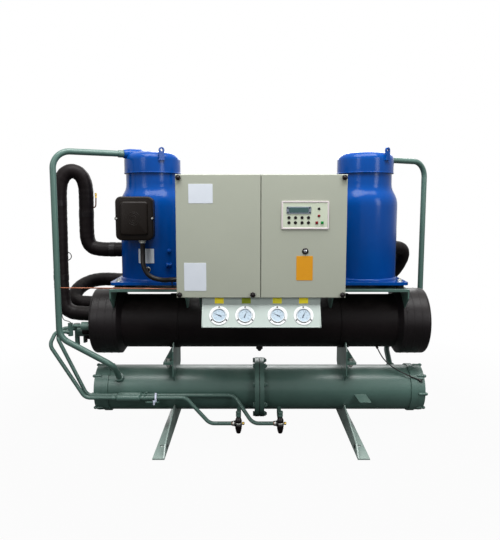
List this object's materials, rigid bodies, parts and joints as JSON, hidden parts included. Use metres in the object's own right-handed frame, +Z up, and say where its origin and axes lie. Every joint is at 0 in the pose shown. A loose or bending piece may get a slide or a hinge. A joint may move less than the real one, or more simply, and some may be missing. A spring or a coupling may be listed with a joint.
{
  "type": "water-cooled scroll chiller",
  "caption": "Water-cooled chiller: an insulated evaporator stacked on a bolted condenser, upright scroll compressors on top, a front control box and a gauge panel.",
  "frame": {"origin": "on the floor, midway between the feet and under the vessels' axes", "axes": "+X along the vessels to the right as seen from the control box, +Y to the rear, away from the control box, +Z up"},
  "size_m": [1.9454, 0.958, 1.396],
  "materials": {
    "green_paint": "satin",
    "blue_paint": "gloss",
    "beige_paint": "fine texture, satin",
    "pale_paint": "satin",
    "black_foam": "matt closed-cell foam",
    "black_rubber": "matt",
    "black_plastic": "satin",
    "black_wire": "satin",
    "zinc_steel": "zinc plated",
    "copper": "drawn tube",
    "valve_metal": "machined",
    "display_plastic": "satin",
    "gauge_white": "satin"
  },
  "bodies": {
    "root": {"box_bracket_left": "green_paint", "box_bracket_right": "green_paint", "box_cover_left": "beige_paint", "box_cover_right": "beige_paint", "capillary_line": "copper", "compressor_base_left": "blue_paint", "compressor_base_right": "blue_paint", "compressor_body_left": "blue_paint", "compressor_body_right": "blue_paint", "compressor_cap_left": "blue_paint", "compressor_cap_right": "blue_paint", "condenser_gasket": "black_rubber", "condenser_head_left": "green_paint", "condenser_head_right": "green_paint", "condenser_saddle_left": "green_paint", "condenser_saddle_right": "green_paint", "condenser_shell_left": "green_paint", "condenser_shell_right": "green_paint", "condenser_water_left": "green_paint", "condenser_water_right": "green_paint", "control_box": "beige_paint", "cover_knobs": "black_plastic", "discharge_pipe_left": "green_paint", "discharge_pipe_right": "green_paint", "display_panel": "display_plastic", "evaporator_end_left": "black_foam", "evaporator_end_right": "black_foam", "evaporator_fittings": "black_plastic", "evaporator_saddle_left": "green_paint", "evaporator_saddle_right": "green_paint", "evaporator_shell": "black_foam", "evaporator_water_left": "green_paint", "evaporator_water_right": "green_paint", "expansion_valve_front": "green_paint", "expansion_valve_rear": "green_paint", "filter_driers": "green_paint", "flange_bolts": "green_paint", "foot_left": "green_paint", "foot_right": "green_paint", "gauge_panel": "pale_paint", "head_bolts": "green_paint", "liquid_line_front": "green_paint", "liquid_line_rear": "green_paint", "motor_conduit_left": "black_plastic", "motor_conduit_right": "black_plastic", "platform_left": "green_paint", "platform_right": "green_paint", "pressure_gauges": "gauge_white", "rubber_mounts": "black_rubber", "saddle_bolts": "zinc_steel", "sensor_clip": "black_wire", "sensor_wire": "black_wire", "shutoff_valves": "valve_metal", "suction_pipe_left": "black_foam", "suction_pipe_right": "black_foam", "terminal_box_left": "black_plastic", "terminal_box_right": "black_plastic"}
  },
  "joints": []
}
